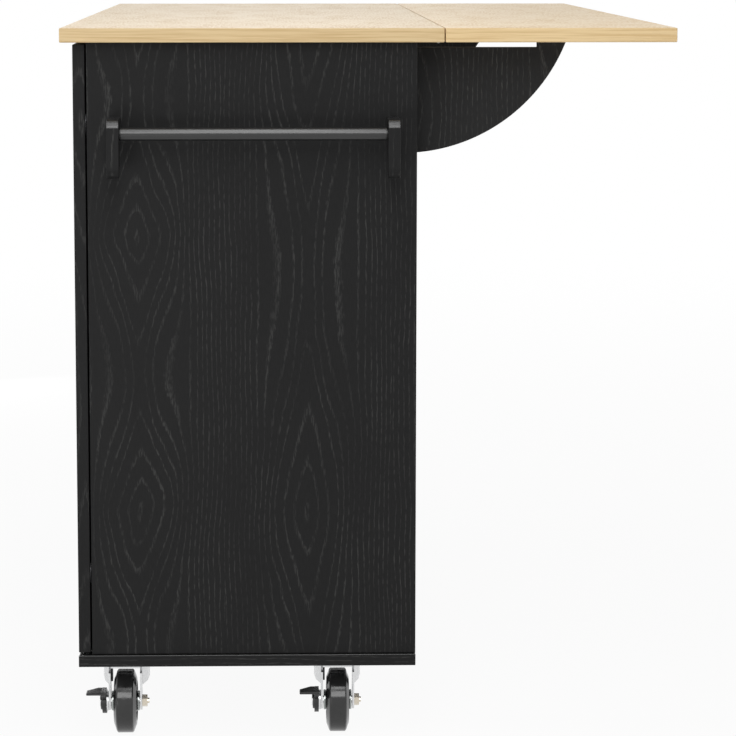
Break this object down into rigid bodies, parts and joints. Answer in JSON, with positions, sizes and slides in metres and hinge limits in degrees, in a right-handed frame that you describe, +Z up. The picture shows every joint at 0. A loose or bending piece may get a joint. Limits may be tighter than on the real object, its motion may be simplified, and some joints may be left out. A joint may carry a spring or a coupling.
{
  "type": "drop leaf kitchen island",
  "caption": "Wheeled kitchen island with a raised drop leaf on swing-out wings, two doors, a bank of drawers and a towel rack.",
  "frame": {"origin": "on the floor, under the middle of the overall box", "axes": "+X along the length towards the end with the towel rack, +Y from the doors towards the leaf, +Z up"},
  "size_m": [1.395, 0.7696, 0.914],
  "materials": {
    "oak": "pale oak laminate, satin, fine straight grain along the length",
    "black_oak": "black oak-grain laminate, satin, vertical cathedral grain",
    "powder_coat": "satin black powder coat",
    "zinc": "bright zinc plate",
    "wheel": "black moulded tread and hub",
    "pedal": "black moulded nylon"
  },
  "bodies": {
    "cabinet": {"worktop": "oak", "base_board": "black_oak", "back_panel": "black_oak", "front_top_rail": "black_oak", "rear_top_rail": "black_oak", "right_side_panel": "black_oak", "right_divider": "black_oak", "right_shelf": "black_oak", "left_side_panel": "black_oak", "left_divider": "black_oak", "left_shelf": "black_oak", "right_door_arm_lower": "zinc", "right_door_arm_upper": "zinc", "right_wing_hinge_fixed": "zinc", "left_door_arm_lower": "zinc", "left_door_arm_upper": "zinc", "left_wing_hinge_fixed": "zinc", "leaf_hinge_1_fixed": "zinc", "leaf_hinge_2_fixed": "zinc", "leaf_hinge_3_fixed": "zinc", "towel_bracket_front": "black_oak", "towel_bracket_rear": "black_oak", "towel_bar": "powder_coat", "caster_front_right_plate": "zinc", "caster_rear_right_plate": "zinc", "caster_front_left_plate": "zinc", "caster_rear_left_plate": "zinc"},
    "leaf": {"drop_leaf": "oak", "leaf_hinge_1_moving": "zinc", "leaf_hinge_2_moving": "zinc", "leaf_hinge_3_moving": "zinc"},
    "right_wing": {"right_wing": "black_oak", "right_wing_hinge_moving": "zinc"},
    "left_wing": {"left_wing": "black_oak", "left_wing_hinge_moving": "zinc"},
    "right_door": {"right_door": "black_oak", "right_door_cup_lower": "zinc", "right_door_cup_upper": "zinc"},
    "left_door": {"left_door": "black_oak", "left_door_cup_lower": "zinc", "left_door_cup_upper": "zinc"},
    "drawer_bottom": {"drawer_front_bottom": "black_oak", "drawer_box_bottom": "black_oak"},
    "drawer_middle": {"drawer_front_middle": "black_oak", "drawer_box_middle": "black_oak"},
    "drawer_top": {"drawer_front_top": "black_oak", "drawer_box_top": "black_oak"},
    "caster_front_right_swivel": {"caster_front_right_fork": "zinc"},
    "caster_front_right_wheel": {"caster_front_right_wheel": "wheel"},
    "caster_front_right_pedal": {"caster_front_right_pedal": "pedal"},
    "caster_rear_right_swivel": {"caster_rear_right_fork": "zinc"},
    "caster_rear_right_wheel": {"caster_rear_right_wheel": "wheel"},
    "caster_rear_right_pedal": {"caster_rear_right_pedal": "pedal"},
    "caster_front_left_swivel": {"caster_front_left_fork": "zinc"},
    "caster_front_left_wheel": {"caster_front_left_wheel": "wheel"},
    "caster_front_left_pedal": {"caster_front_left_pedal": "pedal"},
    "caster_rear_left_swivel": {"caster_rear_left_fork": "zinc"},
    "caster_rear_left_wheel": {"caster_rear_left_wheel": "wheel"},
    "caster_rear_left_pedal": {"caster_rear_left_pedal": "pedal"}
  },
  "joints": [
    {"name": "leaf_hinge", "type": "hinge", "parent": "cabinet", "child": "leaf", "pos_m": [-0.0225, 0.095, 0.8927], "axis": [1, 0, 0], "range_deg": [0, 3]},
    {"name": "right_wing_hinge", "type": "hinge", "parent": "cabinet", "child": "right_wing", "pos_m": [0.5587, 0.06455, 0.82], "axis": [0, 0, 1], "range_deg": [0, 90]},
    {"name": "left_wing_hinge", "type": "hinge", "parent": "cabinet", "child": "left_wing", "pos_m": [-0.6037, 0.06455, 0.82], "axis": [0, 0, -1], "range_deg": [0, 90]},
    {"name": "right_door_hinge", "type": "hinge", "parent": "cabinet", "child": "right_door", "pos_m": [0.6375, -0.35375, 0.505], "axis": [0, 0, 1], "range_deg": [0, 105]},
    {"name": "left_door_hinge", "type": "hinge", "parent": "cabinet", "child": "left_door", "pos_m": [-0.6825, -0.35375, 0.505], "axis": [0, 0, -1], "range_deg": [0, 105]},
    {"name": "drawer_bottom_slide", "type": "slide", "parent": "cabinet", "child": "drawer_bottom", "axis": [0, -1, 0], "range_m": [0, 0.3]},
    {"name": "drawer_middle_slide", "type": "slide", "parent": "cabinet", "child": "drawer_middle", "axis": [0, -1, 0], "range_m": [0, 0.3]},
    {"name": "drawer_top_slide", "type": "slide", "parent": "cabinet", "child": "drawer_top", "axis": [0, -1, 0], "range_m": [0, 0.3]},
    {"name": "caster_front_right_swivel", "type": "hinge", "parent": "cabinet", "child": "caster_front_right_swivel", "pos_m": [0.5645, -0.31275, 0.09], "axis": [0, 0, 1], "continuous": true},
    {"name": "caster_front_right_roll", "type": "hinge", "parent": "caster_front_right_swivel", "child": "caster_front_right_wheel", "pos_m": [0.5925, -0.31275, 0.041], "axis": [0, 1, 0], "continuous": true},
    {"name": "caster_front_right_pedal", "type": "hinge", "parent": "caster_front_right_swivel", "child": "caster_front_right_pedal", "pos_m": [0.5925, -0.31275, 0.041], "axis": [0, 1, 0], "range_deg": [0, 22]},
    {"name": "caster_rear_right_swivel", "type": "hinge", "parent": "cabinet", "child": "caster_rear_right_swivel", "pos_m": [0.5645, -0.03775, 0.09], "axis": [0, 0, 1], "continuous": true},
    {"name": "caster_rear_right_roll", "type": "hinge", "parent": "caster_rear_right_swivel", "child": "caster_rear_right_wheel", "pos_m": [0.5925, -0.03775, 0.041], "axis": [0, 1, 0], "continuous": true},
    {"name": "caster_rear_right_pedal", "type": "hinge", "parent": "caster_rear_right_swivel", "child": "caster_rear_right_pedal", "pos_m": [0.5925, -0.03775, 0.041], "axis": [0, 1, 0], "range_deg": [0, 22]},
    {"name": "caster_front_left_swivel", "type": "hinge", "parent": "cabinet", "child": "caster_front_left_swivel", "pos_m": [-0.6095, -0.31275, 0.09], "axis": [0, 0, 1], "continuous": true},
    {"name": "caster_front_left_roll", "type": "hinge", "parent": "caster_front_left_swivel", "child": "caster_front_left_wheel", "pos_m": [-0.5815, -0.31275, 0.041], "axis": [0, 1, 0], "continuous": true},
    {"name": "caster_front_left_pedal", "type": "hinge", "parent": "caster_front_left_swivel", "child": "caster_front_left_pedal", "pos_m": [-0.5815, -0.31275, 0.041], "axis": [0, 1, 0], "range_deg": [0, 22]},
    {"name": "caster_rear_left_swivel", "type": "hinge", "parent": "cabinet", "child": "caster_rear_left_swivel", "pos_m": [-0.6095, -0.03775, 0.09], "axis": [0, 0, 1], "continuous": true},
    {"name": "caster_rear_left_roll", "type": "hinge", "parent": "caster_rear_left_swivel", "child": "caster_rear_left_wheel", "pos_m": [-0.5815, -0.03775, 0.041], "axis": [0, 1, 0], "continuous": true},
    {"name": "caster_rear_left_pedal", "type": "hinge", "parent": "caster_rear_left_swivel", "child": "caster_rear_left_pedal", "pos_m": [-0.5815, -0.03775, 0.041], "axis": [0, 1, 0], "range_deg": [0, 22]}
  ]
}
